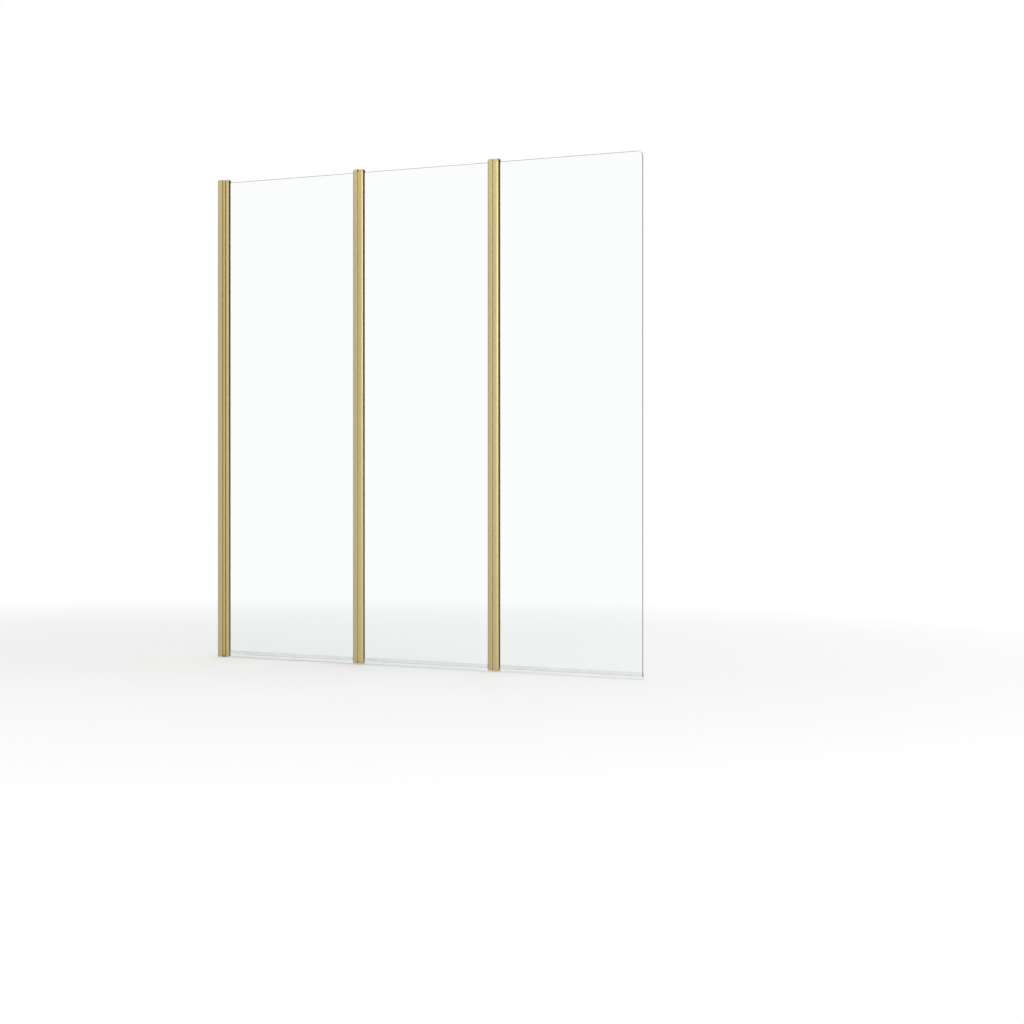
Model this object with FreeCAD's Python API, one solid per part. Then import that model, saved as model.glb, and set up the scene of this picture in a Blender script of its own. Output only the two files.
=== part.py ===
"""Folding bath screen: three glass leaves in slim metal stiles, hinged to a wall channel.

Millimetres. X runs along the bath rim away from the wall, Y into the bath, Z up.
The origin lies on the wall face, in the mid-plane of the glass, at the level of the rim.
"""
import FreeCAD, Part
import os

# Overall sizes
screen_height = 1400.0
rim_clearance = 3.0          # the leaves swing this far above the rim
first_leaf_pitch = 468.4     # wall hinge line to first fold line
second_leaf_pitch = 446.6    # first fold line to second fold line
third_leaf_reach = 458.2     # second fold line to the free glass edge

# Wall channel and the hinge post that slides in it
channel_reach = 17.0
channel_wall = 1.8
channel_lip_radius = 0.8
slide_clearance = 0.2        # between post and channel, each side
post_width = 21.0
post_reach = 9.0             # part of the post that stands out of the channel
post_back_radius = 2.0       # corners of the post inside the channel
plug_height = 8.0
wall_hole_radius = 3.0
wall_hole_count = 4
wall_hole_margin = 100.0     # end of the channel to its outermost hole

# Screws that fix the post, and their covers
adjust_screw_count = 3
adjust_screw_margin = 150.0
adjust_screw_inset = 10.0    # wall face to the screws
adjust_screw_radius = 1.75
adjust_screw_length = 6.0
adjust_head_radius = 3.5
adjust_head_height = 2.0
adjust_drive_radius = 1.3
adjust_drive_depth = 1.1
cover_wall = 0.9
cover_clearance = 0.6        # between screw head and cover
cover_edge_radius = 1.2

# Stiles
profile_depth = 13.0
profile_wall = 1.5
wall_stile_width = 12.0      # first leaf, at the wall hinge
closing_stile_width = 16.0   # on the wall side of a fold
opening_stile_width = 20.0   # on the free side of a fold
nose_radius = 1.5            # corners at the hinge groove
lip_radius = 5.0             # corners beside the glass
wall_groove = 1.6            # between the post and the closed first leaf
fold_groove = 1.0            # between two closed leaves
glass_slot_depth = 6.0
port_radius = 1.3            # screw port in the core of the extrusion
port_wall = 1.2

# Glass, gaskets and seals
glass_thickness = 5.0
glass_top_clearance = 2.8    # top of the glass to the level of the end caps
glass_corner_radius = 15.0   # free top corner of the third pane
glass_arris = 0.8
gasket_thickness = 1.0
groove_seal_root = 2.4
groove_seal_depth = 1.2
groove_seal_lip = 1.4
groove_seal_clearance = 0.3
drip_wall = 0.8
drip_clip_height = 10.0      # part of the clip beside the glass
drip_floor = 1.2
drip_fin = 0.9
drip_fin_lean = 4.0
drip_fin_lift = 0.5          # fin tip above the rim
drip_end_clearance = 0.5

# Hinge ears, pins and bushes in the end caps
cap_thickness = 6.0
cap_edge_radius = 1.2
cap_crown_radius = 4.5       # top corner of a leaf's cap, towards the glass
fold_gap = 1.5               # between two stiles folded flat on each other
ear_radius = 3.5
ear_clearance = 0.4          # round an ear, in the cap that it turns in
ear_lift = 0.3               # between an ear and the end of the stile beside it
pin_radius = 1.75
pin_clearance = 0.05
pin_recess = 0.2
bush_wall = 0.7
bush_flange = 0.3
bush_flange_radius = 3.0
cap_screw_length = 16.0
cap_screw_clearance = 0.15
cap_head_radius = 2.2
cap_head_height = 1.6
cap_head_clearance = 0.2
cap_drive_radius = 0.9
cap_drive_depth = 0.9

# Places that follow from the sizes
half_depth = profile_depth / 2
channel_half = half_depth + slide_clearance + channel_wall
post_nose = channel_reach + post_reach
wall_hinge_x = post_nose + wall_groove / 2
first_fold_x = wall_hinge_x + first_leaf_pitch
second_fold_x = first_fold_x + second_leaf_pitch
free_edge_x = second_fold_x + third_leaf_reach
stile_bottom = rim_clearance + cap_thickness
stile_top = screen_height - cap_thickness
glass_top = stile_top - glass_top_clearance
slot_half = glass_thickness / 2 + gasket_thickness
pivot_offset = half_depth + fold_gap / 2
ear_thickness = (cap_thickness - ear_lift - bush_flange) / 2
bush_radius = pin_radius + pin_clearance + bush_wall
core_width = closing_stile_width - glass_slot_depth

# The pivots lie outside the faces that fold together: bath side, room side, bath side
BATH_SIDE = 1
ROOM_SIDE = -1

Z_AXIS = FreeCAD.Vector(0, 0, 1)
Y_AXIS = FreeCAD.Vector(0, 1, 0)


def block(x, y, z):
    """Box between pairs of limits."""
    corner = FreeCAD.Vector(x[0], y[0], z[0])
    return Part.makeBox(x[1] - x[0], y[1] - y[0], z[1] - z[0], corner)


def rod(x, y, z, radius):
    """Upright cylinder between two levels."""
    return Part.makeCylinder(radius, z[1] - z[0], FreeCAD.Vector(x, y, z[0]), Z_AXIS)


def rounded_bar(x, half_width, near_radius, far_radius, z):
    """Upright bar with its own corner radius at each end of its X span."""
    x0, x1 = x
    corners = (
        (x0, -half_width, near_radius, 1, 1),
        (x1, -half_width, far_radius, -1, 1),
        (x1, half_width, far_radius, -1, -1),
        (x0, half_width, near_radius, 1, -1),
    )
    edges = []
    ends = []
    slack = 1 - 0.5 ** 0.5
    for index, (cx, cy, radius, sx, sy) in enumerate(corners):
        along_x = FreeCAD.Vector(cx + sx * radius, cy, z[0])
        along_y = FreeCAD.Vector(cx, cy + sy * radius, z[0])
        middle = FreeCAD.Vector(cx + sx * radius * slack, cy + sy * radius * slack, z[0])
        pair = (along_y, along_x) if index % 2 == 0 else (along_x, along_y)
        edges.append(Part.Arc(pair[0], middle, pair[1]).toShape())
        ends.append(pair)
    for index, pair in enumerate(ends):
        edges.append(Part.makeLine(pair[1], ends[(index + 1) % len(ends)][0]))
    wire = Part.Wire(Part.__sortEdges__(edges))
    return Part.Face(wire).extrude(FreeCAD.Vector(0, 0, z[1] - z[0]))


def span(first, second):
    """Two limits in rising order."""
    return (min(first, second), max(first, second))


class Bar:
    """Section of an upright profile that reaches from the nose at its hinge line to its back."""

    def __init__(self, nose, width, side, core, back_radius, crown_radius):
        self.nose = nose
        self.side = side
        self.core = core
        self.back = nose + side * width
        self.port = nose + side * core / 2
        self.back_radius = back_radius
        self.crown_radius = crown_radius

    def outline(self, z):
        """Outside between two levels: small corners at the nose, their own radius at the back."""
        near, far = nose_radius, self.back_radius
        if self.side < 0:
            near, far = far, near
        return rounded_bar(span(self.nose, self.back), half_depth, near, far, z)

    def core_cuts(self, z):
        """Screw port and the two hollow chambers of the core."""
        front = self.nose + self.side * profile_wall
        rear = self.nose + self.side * (self.core - profile_wall)
        inner = port_radius + port_wall
        outer = half_depth - profile_wall
        return [
            rod(self.port, 0, z, port_radius),
            block(span(front, rear), (inner, outer), z),
            block(span(front, rear), (-outer, -inner), z),
        ]

    def seal_groove(self, z):
        """Groove in the nose that holds the root of the groove seal."""
        limits = span(self.nose, self.nose + self.side * groove_seal_depth)
        return block(limits, (-groove_seal_root / 2, groove_seal_root / 2), z)


def leaf_bar(nose, width, side):
    """Section of a leaf's stile, with the glass slot behind its core."""
    return Bar(nose, width, side, width - glass_slot_depth, lip_radius, cap_crown_radius)


def stile(bar, has_seal):
    """Extruded stile: glass slot in its back, hinge nose on the other edge, core between."""
    z = (stile_bottom, stile_top)
    slot = span(bar.back, bar.back - bar.side * glass_slot_depth)
    cuts = [block(slot, (-slot_half, slot_half), z)] + bar.core_cuts(z)
    if has_seal:
        cuts.append(bar.seal_groove(z))
    return bar.outline(z).cut(cuts)


def groove_seal(bar, groove):
    """Soft strip: a root in the nose and a lip that closes the hinge groove."""
    z = (stile_bottom, stile_top)
    lip_tip = bar.nose - bar.side * (groove - groove_seal_clearance)
    lip = block(span(bar.nose, lip_tip), (-groove_seal_lip / 2, groove_seal_lip / 2), z)
    return bar.seal_groove(z).fuse(lip).removeSplitter()


def cap_plate(bar, z, outward):
    """Plate of a cap with rounded outer edges; a leaf's top cap is crowned towards the glass."""
    level = z[1] if outward > 0 else z[0]
    outline = bar.outline(z)
    rim = [edge for edge in outline.Edges if all(abs(v.Z - level) < 0.001 for v in edge.Vertexes)]
    plate = outline.makeFillet(cap_edge_radius, rim)
    if outward < 0 or not bar.crown_radius:
        return plate
    body = block(span(bar.nose, bar.back), (-half_depth, half_depth), z)
    corner = [
        edge for edge in body.Edges
        if all(abs(v.X - bar.back) < 0.001 and abs(v.Z - level) < 0.001 for v in edge.Vertexes)
    ]
    return plate.common(body.makeFillet(bar.crown_radius, corner))


def end_cap(plate, z, pivot, stack, is_lower):
    """Cap on the end of a stile with one ear of the half-lapped hinge.

    The ear that carries the bush lies below, and the ear that holds the pin rests on it.
    Each cap is cut back round the pivot at the level of the other cap's ear.
    """
    lower = (stack, stack + ear_thickness)
    upper = (lower[1] + bush_flange, lower[1] + bush_flange + ear_thickness)
    room = ear_radius + ear_clearance
    if is_lower:
        ear = rod(pivot[0], pivot[1], lower, ear_radius)
        relief = rod(pivot[0], pivot[1], (lower[1], z[1]), room)
        bore = rod(pivot[0], pivot[1], lower, bush_radius)
    else:
        ear = rod(pivot[0], pivot[1], upper, ear_radius)
        relief = rod(pivot[0], pivot[1], (z[0], upper[0]), room)
        bore = rod(pivot[0], pivot[1], upper, pin_radius)
    return plate.cut(relief).fuse(ear).cut(bore).removeSplitter()


def screw_pocket(x, z, outward):
    """Clearance hole and counterbore of the screw that holds a cap."""
    hole = rod(x, 0, z, port_radius + cap_screw_clearance)
    depth = cap_head_height + cap_head_clearance
    level = (z[1] - depth, z[1]) if outward > 0 else (z[0], z[0] + depth)
    return [hole, rod(x, 0, level, cap_head_radius + cap_head_clearance)]


def cap_screw(x, z, outward):
    """Pan-head screw from a cap's counterbore into the screw port."""
    face = z[1] if outward > 0 else z[0]
    seat = face - outward * (cap_head_height + cap_head_clearance)
    head = span(seat, seat + outward * cap_head_height)
    shank = span(seat, seat - outward * cap_screw_length)
    top = seat + outward * cap_head_height
    drive = span(top, top - outward * cap_drive_depth)
    screw = rod(x, 0, head, cap_head_radius).fuse(rod(x, 0, shank, port_radius))
    return screw.cut(rod(x, 0, drive, cap_drive_radius)).removeSplitter()


def cap_levels():
    """Limits, hinge stack level and outward direction of the lower and the upper caps."""
    bottom = (rim_clearance, stile_bottom)
    top = (stile_top, screen_height)
    return (("bottom", bottom, bottom[0], -1), ("top", top, top[0] + ear_lift, 1))


def end_caps(name, bar, pivot, is_lower):
    """Both caps of one stile; gives their screws."""
    screws = []
    for end, z, stack, outward in cap_levels():
        cap = end_cap(cap_plate(bar, z, outward), z, pivot, stack, is_lower)
        save(name + "_" + end, cap.cut(screw_pocket(bar.port, z, outward)))
        screws.append(cap_screw(bar.port, z, outward))
    return screws


def bushes(pivot):
    """Flanged hinge bushes; the flange carries the ear above."""
    shapes = []
    for _, _, stack, _ in cap_levels():
        seat = stack + ear_thickness
        body = rod(pivot[0], pivot[1], (stack, seat), bush_radius)
        flange = rod(pivot[0], pivot[1], (seat, seat + bush_flange), bush_flange_radius)
        bore = rod(pivot[0], pivot[1], (stack, seat + bush_flange), pin_radius + pin_clearance)
        shapes.append(body.fuse(flange).cut(bore).removeSplitter())
    return shapes


def pins(pivot):
    """Hinge pins, fast in the upper ears and turning in the bushes."""
    shapes = []
    for _, _, stack, _ in cap_levels():
        top = stack + 2 * ear_thickness + bush_flange
        shapes.append(rod(pivot[0], pivot[1], (stack + pin_recess, top), pin_radius))
    return shapes


def glass_pane(x, corner_radius):
    """Pane with ground edges; the far top corner is rounded where a radius is given."""
    half = glass_thickness / 2
    pane = block(x, (-half, half), (stile_bottom, glass_top))
    if corner_radius:
        corner = [
            edge for edge in pane.Edges
            if all(abs(v.X - x[1]) < 0.001 and abs(v.Z - glass_top) < 0.001 for v in edge.Vertexes)
        ]
        pane = pane.makeFillet(corner_radius, corner)
    rim = [
        edge for edge in pane.Edges
        if all(abs(v.Y - edge.Vertexes[0].Y) < 0.001 for v in edge.Vertexes)
    ]
    return pane.makeChamfer(glass_arris, rim)


def gasket(bar):
    """U-shaped glazing strip between a pane's edge and its slot."""
    z = (stile_bottom, stile_top)
    floor = bar.back - bar.side * glass_slot_depth
    inner = floor + bar.side * gasket_thickness
    half = glass_thickness / 2
    shell = block(span(floor, bar.back), (-slot_half, slot_half), z)
    return shell.cut(block(span(inner, bar.back), (-half, half), z))


def drip_seal(x):
    """Clear clip on a pane's lower edge, with a fin that leans into the bath."""
    half = glass_thickness / 2
    outer = half + drip_wall
    floor = stile_bottom - drip_floor
    points = (
        (-outer, stile_bottom + drip_clip_height), (-outer, floor), (-drip_fin / 2, floor),
        (drip_fin_lean - drip_fin / 2, drip_fin_lift), (drip_fin_lean + drip_fin / 2, drip_fin_lift),
        (drip_fin / 2, floor), (outer, floor), (outer, stile_bottom + drip_clip_height),
        (half, stile_bottom + drip_clip_height), (half, stile_bottom), (-half, stile_bottom),
        (-half, stile_bottom + drip_clip_height),
    )
    corners = [FreeCAD.Vector(x[0], y, z) for y, z in points]
    section = Part.Face(Part.makePolygon(corners + corners[:1]))
    return section.extrude(FreeCAD.Vector(x[1] - x[0], 0, 0))


def spread(count, margin):
    """Levels of evenly spaced holes between equal margins."""
    step = (screen_height - 2 * margin) / (count - 1)
    return [margin + step * index for index in range(count)]


def wall_channel():
    """U extrusion with wall holes in its web and screw holes in its bath-side wall."""
    z = (0, screen_height)
    outer = rounded_bar((0, channel_reach), channel_half, channel_lip_radius / 2, channel_lip_radius, z)
    inner_half = channel_half - channel_wall
    cuts = [block((channel_wall, channel_reach), (-inner_half, inner_half), z)]
    for level in spread(wall_hole_count, wall_hole_margin):
        origin = FreeCAD.Vector(0, 0, level)
        cuts.append(Part.makeCylinder(wall_hole_radius, channel_wall, origin, FreeCAD.Vector(1, 0, 0)))
    cuts += adjust_holes(inner_half, channel_half)
    return outer.cut(cuts)


def adjust_holes(inner, outer):
    """Holes of the adjusting screws through a wall between two Y limits."""
    shapes = []
    for level in spread(adjust_screw_count, adjust_screw_margin):
        origin = FreeCAD.Vector(adjust_screw_inset, inner, level)
        shapes.append(Part.makeCylinder(adjust_screw_radius, outer - inner, origin, Y_AXIS))
    return shapes


def hinge_post(bar):
    """Adjusting profile: hollow body inside the channel, hinge core at its nose."""
    z = (stile_bottom, stile_top)
    hollow_half = half_depth - profile_wall
    hollow = (bar.back + profile_wall, bar.nose - bar.core)
    cuts = bar.core_cuts(z) + [bar.seal_groove(z)]
    cuts.append(block(hollow, (-hollow_half, hollow_half), z))
    cuts += adjust_holes(hollow_half, half_depth)
    return bar.outline(z).cut(cuts)


def channel_plug(bar, z):
    """Infill between the channel's web and the back of the post."""
    inner_half = channel_half - channel_wall
    return block((channel_wall, bar.back), (-inner_half, inner_half), z)


def adjusting_screws():
    """Pan-head screws through the channel's bath-side wall into the post."""
    shapes = []
    for level in spread(adjust_screw_count, adjust_screw_margin):
        seat = FreeCAD.Vector(adjust_screw_inset, channel_half, level)
        tip = seat - Y_AXIS * adjust_screw_length
        top = seat + Y_AXIS * (adjust_head_height - adjust_drive_depth)
        head = Part.makeCylinder(adjust_head_radius, adjust_head_height, seat, Y_AXIS)
        shank = Part.makeCylinder(adjust_screw_radius, adjust_screw_length, tip, Y_AXIS)
        drive = Part.makeCylinder(adjust_drive_radius, adjust_drive_depth, top, Y_AXIS)
        shapes.append(head.fuse(shank).cut(drive).removeSplitter())
    return shapes


def screw_covers():
    """Snap covers with a rounded edge over the adjusting screws."""
    inner_radius = adjust_head_radius + cover_clearance
    inner_height = adjust_head_height + cover_clearance
    shapes = []
    for level in spread(adjust_screw_count, adjust_screw_margin):
        seat = FreeCAD.Vector(adjust_screw_inset, channel_half, level)
        shell = Part.makeCylinder(inner_radius + cover_wall, inner_height + cover_wall, seat, Y_AXIS)
        crown = channel_half + inner_height + cover_wall
        rim = [e for e in shell.Edges if all(abs(v.Y - crown) < 0.001 for v in e.Vertexes)]
        shell = shell.makeFillet(cover_edge_radius, rim)
        shapes.append(shell.cut(Part.makeCylinder(inner_radius, inner_height, seat, Y_AXIS)))
    return shapes


def save(name, shape):
    """Write one node; a list of shapes becomes a group of separate solids."""
    if isinstance(shape, list):
        shape = Part.makeCompound(shape)
    shape.exportStep("parts/" + name + ".step")


def wall_unit(pivot):
    """Channel, post and the fixed half of the wall hinge."""
    post = Bar(post_nose, post_width, -1, core_width, post_back_radius, None)
    save("wall_channel", wall_channel())
    save("channel_plug_bottom", channel_plug(post, (0, plug_height)))
    save("channel_plug_top", channel_plug(post, (screen_height - plug_height, screen_height)))
    save("hinge_post", hinge_post(post))
    save("adjusting_screws", adjusting_screws())
    save("screw_covers", screw_covers())
    save("post_cap_screws", end_caps("post_cap", post, pivot, True))
    save("post_bushes", bushes(pivot))
    save("post_seal", groove_seal(post, wall_groove))


def leaf(number, hinge_pivot, hinge_groove, hinge_width, fold_pivot, free_edge):
    """One leaf, from its own hinge to the next fold, or to a free glass edge."""
    tag = "leaf_" + str(number)
    bite = glass_slot_depth - gasket_thickness
    hinge_bar = leaf_bar(hinge_pivot[0] + hinge_groove / 2, hinge_width, 1)
    save(tag + "_hinge_stile", stile(hinge_bar, False))
    save(tag + "_hinge_gasket", gasket(hinge_bar))
    save(tag + "_pins", pins(hinge_pivot))
    screws = end_caps(tag + "_hinge_cap", hinge_bar, hinge_pivot, False)
    pane_start = hinge_bar.back - bite
    drip_start = hinge_bar.back + drip_end_clearance
    if fold_pivot:
        fold_bar = leaf_bar(fold_pivot[0] - fold_groove / 2, closing_stile_width, -1)
        save(tag + "_fold_stile", stile(fold_bar, True))
        save(tag + "_fold_gasket", gasket(fold_bar))
        save(tag + "_groove_seal", groove_seal(fold_bar, fold_groove))
        save(tag + "_bushes", bushes(fold_pivot))
        screws += end_caps(tag + "_fold_cap", fold_bar, fold_pivot, True)
        pane = glass_pane((pane_start, fold_bar.back + bite), None)
        drip = (drip_start, fold_bar.back - drip_end_clearance)
    else:
        pane = glass_pane((pane_start, free_edge), glass_corner_radius)
        drip = (drip_start, free_edge)
    save(tag + "_cap_screws", screws)
    save(tag + "_glass", pane)
    save(tag + "_drip_seal", drip_seal(drip))


os.makedirs("parts", exist_ok=True)
wall_pivot = (wall_hinge_x, BATH_SIDE * pivot_offset)
first_fold = (first_fold_x, ROOM_SIDE * pivot_offset)
second_fold = (second_fold_x, BATH_SIDE * pivot_offset)
wall_unit(wall_pivot)
leaf(1, wall_pivot, wall_groove, wall_stile_width, first_fold, None)
leaf(2, first_fold, fold_groove, opening_stile_width, second_fold, None)
leaf(3, second_fold, fold_groove, opening_stile_width, None, free_edge_x)
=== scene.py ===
"""Folding bath screen: brushed gold stiles, clear glass leaves, seals and hinge fittings.

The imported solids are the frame. This file gives them their finishes, eases the stiles at the folds,
makes the strips and small fittings that repeat, and sets the studio with the camera.
"""

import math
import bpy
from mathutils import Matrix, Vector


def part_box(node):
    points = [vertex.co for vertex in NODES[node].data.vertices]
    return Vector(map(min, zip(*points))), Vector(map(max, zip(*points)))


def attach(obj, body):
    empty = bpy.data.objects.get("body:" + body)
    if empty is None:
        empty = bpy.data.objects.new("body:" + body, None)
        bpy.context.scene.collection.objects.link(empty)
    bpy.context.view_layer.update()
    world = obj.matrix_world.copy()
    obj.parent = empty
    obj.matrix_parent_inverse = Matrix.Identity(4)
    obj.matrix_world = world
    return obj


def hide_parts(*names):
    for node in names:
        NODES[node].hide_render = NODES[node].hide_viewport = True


bl_info = {
    "name": "Folding bath screen",
    "version": (1, 0, 0),
    "blender": (4, 5, 0),
    "location": "3D View > Sidebar > Bath screen",
    "description": "Finishes and fittings of a three-leaf folding bath screen",
    "category": "Object",
}

import bmesh
import bpy
from mathutils import Vector

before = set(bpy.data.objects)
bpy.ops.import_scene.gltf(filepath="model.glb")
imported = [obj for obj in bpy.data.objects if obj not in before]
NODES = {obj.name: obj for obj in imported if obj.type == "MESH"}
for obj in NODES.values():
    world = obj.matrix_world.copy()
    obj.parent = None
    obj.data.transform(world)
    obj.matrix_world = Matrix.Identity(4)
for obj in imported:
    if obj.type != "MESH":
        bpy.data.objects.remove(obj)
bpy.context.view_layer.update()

LEAVES = ("leaf_1", "leaf_2", "leaf_3")
FOLDING = LEAVES[:2]    # leaves that carry the next one
PIN_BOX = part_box("leaf_1_pins")
PANE_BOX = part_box("leaf_1_glass")

# Stiles at the folds: leaf, edge of the leaf, and side of the glass along X
FOLD_STILES = (
    ("leaf_1", "fold", -1),
    ("leaf_2", "hinge", 1),
    ("leaf_2", "fold", -1),
    ("leaf_3", "hinge", 1),
)

# Lamps of the studio: place, target, width and height in metres
LAMPS = {
    "key": ((-1.9, -3.0, 3.3), (0.7, 0.0, 0.8), (2.6, 1.6)),
    "side": ((0.80, -6.0, 1.2), (0.80, 0.0, 1.2), (3.70, 4.5)),
    "top": ((0.7, 0.3, 4.2), (0.7, 0.0, 0.0), (4.5, 4.5)),
}

# Dim side of the studio: its direction, where it starts and is full by the cosine to that direction,
# the rise at which it ends, and the stretch of floor on which it comes in
DIM_WAY = (0.94, 0.342, 0.0)
DIM_RANGE = (-0.02, 0.25)
DIM_HEIGHT = (0.25, 0.6)
DIM_FLOOR = (3.0, 9.0)

# Sides of the round floor, and width of the camera's sensor in millimetres
FLOOR_SIDES = 96
SENSOR_WIDTH = 36.0

# Eased stiles: strips along the slope and along the lip, plain margin beside the nose's corners,
# how near a point is to the drawn outside to be part of it, and how upright the normal of an end is
EASE_STEPS = 6
EASE_MARGIN = 0.00015
EASE_REACH = 0.00006
END_UPRIGHT = 0.9

# Screws: sides and rings of head and shank, sides of the thread's ridge and its points in one turn,
# share of the head's radius that its top loses, and how late the head falls off
HEAD_SIDES, HEAD_RINGS = 32, 10
SHANK_SIDES, SHANK_RINGS = 20, 4
RIDGE_SIDES, THREAD_STEPS = 4, 14
DOME_DROP, DOME_POWER = 0.38, 5.0

# Pins: sides, rings, and share of the length from the middle to the lead-ins
PIN_SIDES, PIN_RINGS = 28, 14
PIN_LEAD = 0.48

# Drip seals: strips on a round lip, on a round corner and along the fin, how late the fin bends out,
# and the angles in degrees between which its tip is round
LIP_STEPS, CORNER_STEPS, FIN_STEPS = 6, 4, 10
FIN_BOW = 1.7
TIP_START, TIP_END = -20, -160

# Distances at which points are one, on a drawn mesh and on a made one, and angles of sharp edges
DRAWN_WELD, MADE_WELD = 1e-6, 1e-7
METAL_SHARP, STRIP_SHARP = math.radians(35), math.radians(40)


def colour_property(name, description, default):
    """Colour that a user can pick."""
    return bpy.props.FloatVectorProperty(
        name=name, description=description, default=default, size=3,
        subtype="COLOR", min=0.0, max=1.0)


def length_property(name, description, default):
    """Length in metres."""
    return bpy.props.FloatProperty(
        name=name, description=description, default=default, min=0.0,
        unit="LENGTH", subtype="DISTANCE", precision=5)


class ScreenFinish(bpy.types.PropertyGroup):
    """Colours of the screen's materials."""
    gold_light: colour_property("Gold, light grain", "Raised lines of the brushed gold",
                                (0.535, 0.437, 0.222))
    gold_deep: colour_property("Gold, deep grain", "Hollows of the brushed gold", (0.475, 0.383, 0.187))
    # Edge gold is partly polish wear and partly a painted highlight along the edges.
    gold_wear_and_highlight: colour_property("Gold, worn edge", "Gold where hands polish the edges", (0.60, 0.50, 0.28))
    cap_gold: colour_property("Cap gold", "Cast end caps", (0.50, 0.40, 0.195))
    cover_gold: colour_property("Cover gold", "Plastic screw covers", (0.52, 0.41, 0.20))
    plug_gold: colour_property("Plug gold", "Plastic plugs of the wall channel", (0.38, 0.30, 0.16))
    glass_face: colour_property("Glass face", "Seen through the pane", (0.975, 0.990, 0.985))
    # Edge and top colours are painted shade: they darken the pane's edge faces, the top one near black, for
    # the dark look glass edges take from light through them.
    glass_edge_painted_shade: colour_property("Glass edge", "Polished free edge of the pane", (0.50, 0.58, 0.56))
    glass_top_painted_shade: colour_property("Glass top", "Ground top edge of the pane", (0.005, 0.013, 0.010))
    glass_body: colour_property("Glass body", "Tint that builds up inside the glass", (0.45, 0.72, 0.66))
    seal_clear: colour_property("Clear seal", "Drip seals", (0.97, 0.985, 0.98))
    rubber: colour_property("Rubber", "Glazing gaskets", (0.055, 0.050, 0.045))
    # The groove seal's dark gold tone is partly painted shade, standing in for the shade in the hinge
    # grooves.
    groove: colour_property("Groove seal", "Strips in the hinge grooves", (0.21, 0.165, 0.09))
    nylon: colour_property("Nylon", "Hinge bushes", (0.78, 0.76, 0.70))
    steel: colour_property("Steel", "Screws and hinge pins", (0.62, 0.61, 0.59))


class ScreenSizes(bpy.types.PropertyGroup):
    """Sizes of the fittings, strips and eased stiles made here."""
    stile_lip: length_property("Stile lip", "Radius of a stile's corners beside the glass, as drawn", 0.005)
    stile_nose: length_property("Stile nose", "Radius of a stile's corners at its hinge line, as drawn",
                                0.0015)
    stile_slot: length_property("Stile slot", "Half the width of the slot that takes the glass", 0.0035)
    slope_run: length_property("Slope run", "Stretch on which a stile's faces start to fall to its lips",
                               0.0055)
    slope_lean: bpy.props.FloatProperty(
        name="Slope lean", description="Fall of a stile's faces where the corners of its lips start",
        default=0.17, min=0.0)
    nose_depth: bpy.props.FloatProperty(
        name="Nose depth", description="Depth of the corners at the hinge line over their drawn depth",
        default=0.4, min=0.0, max=1.0, subtype="FACTOR")
    head_radius: length_property("Screw head", "Radius of a cap screw's head", 0.0022)
    head_height: length_property("Head height", "Height of a cap screw's head", 0.0016)
    shank_radius: length_property("Screw shank", "Outer radius of a cap screw's thread", 0.0013)
    shank_length: length_property("Screw length", "Length of a cap screw below its head", 0.016)
    thread_pitch: length_property("Thread pitch", "Rise of the thread in one turn", 0.0011)
    thread_depth: length_property("Thread depth", "Height of the thread over its core", 0.00028)
    drive_width: length_property("Drive width", "Width of one arm of the cross recess", 0.00055)
    drive_length: length_property("Drive length", "Length of one arm of the cross recess", 0.0024)
    drive_depth: length_property("Drive depth", "Depth of the cross recess", 0.0009)
    pin_radius: length_property("Hinge pin", "Radius of a hinge pin", (PIN_BOX[1].x - PIN_BOX[0].x) / 2)
    pin_length: length_property("Pin length", "Length of a hinge pin", 0.0055)
    pin_chamfer: length_property("Pin chamfer", "Lead-in at a pin's ends", 0.00035)
    seal_wall: length_property("Seal wall", "Thickness of the drip seal's clip", 0.00076)
    seal_gap: length_property("Seal gap", "Film between glass and clip", 0.00004)
    seal_round: length_property("Seal rounding", "Rounded lip of the clip", 0.00034)
    seal_floor: length_property("Seal floor", "Thickness of the clip under the glass", 0.0011)
    seal_corner: length_property("Seal corner", "Rounded lower corner of the clip", 0.0006)
    fin_root: length_property("Fin root", "Thickness of the drip fin at its root", 0.0011)
    fin_tip: length_property("Fin tip", "Thickness of the drip fin at its tip", 0.0005)


class ScreenStudio(bpy.types.PropertyGroup):
    """Floor, light and camera."""
    floor: colour_property("Floor", "Pale studio floor", (0.86, 0.86, 0.855))
    floor_radius: length_property("Floor radius", "Reach of the floor", 70.0)
    fade_start: length_property("Fade start", "Where the floor starts to turn to plain white", 0.5)
    fade_end: length_property("Fade end", "Where the floor is plain white", 2.8)
    dim_side: bpy.props.FloatProperty(
        name="Dim side", description="Level of the studio behind the free edge, seen in the metal",
        default=0.08, min=0.0, max=1.0, subtype="FACTOR")
    fill_level: bpy.props.FloatProperty(
        name="Fill level", description="Even light from all round", default=0.58, min=0.0)
    key_power: bpy.props.FloatProperty(
        name="Key power", description="Soft light from above the front", default=25.0, unit="POWER")
    side_power: bpy.props.FloatProperty(
        name="Side power", description="Tall soft box beside the camera", default=83.0, unit="POWER")
    top_power: bpy.props.FloatProperty(
        name="Top power", description="Wide soft light from overhead", default=85.0, unit="POWER")
    lens: bpy.props.FloatProperty(
        name="Lens", description="Focal length", default=79.5, unit="CAMERA")
    camera_place: bpy.props.FloatVectorProperty(
        name="Camera", description="Place of the camera", default=(4.132, -5.289, 0.5775),
        size=3, subtype="TRANSLATION", unit="LENGTH")
    camera_turn: bpy.props.FloatProperty(
        name="Camera turn", description="Turn of the camera from straight along Y",
        default=math.radians(30.63), subtype="ANGLE", unit="ROTATION")
    camera_shift: bpy.props.FloatProperty(
        name="Camera shift", description="Vertical shift of the picture", default=-0.0507)


def finish():
    """Colours in use."""
    return bpy.context.scene.screen_finish


def sizes():
    """Sizes in use."""
    return bpy.context.scene.screen_sizes


def rgba(colour):
    """Opaque colour for a shader socket."""
    return (*colour, 1.0)


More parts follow.
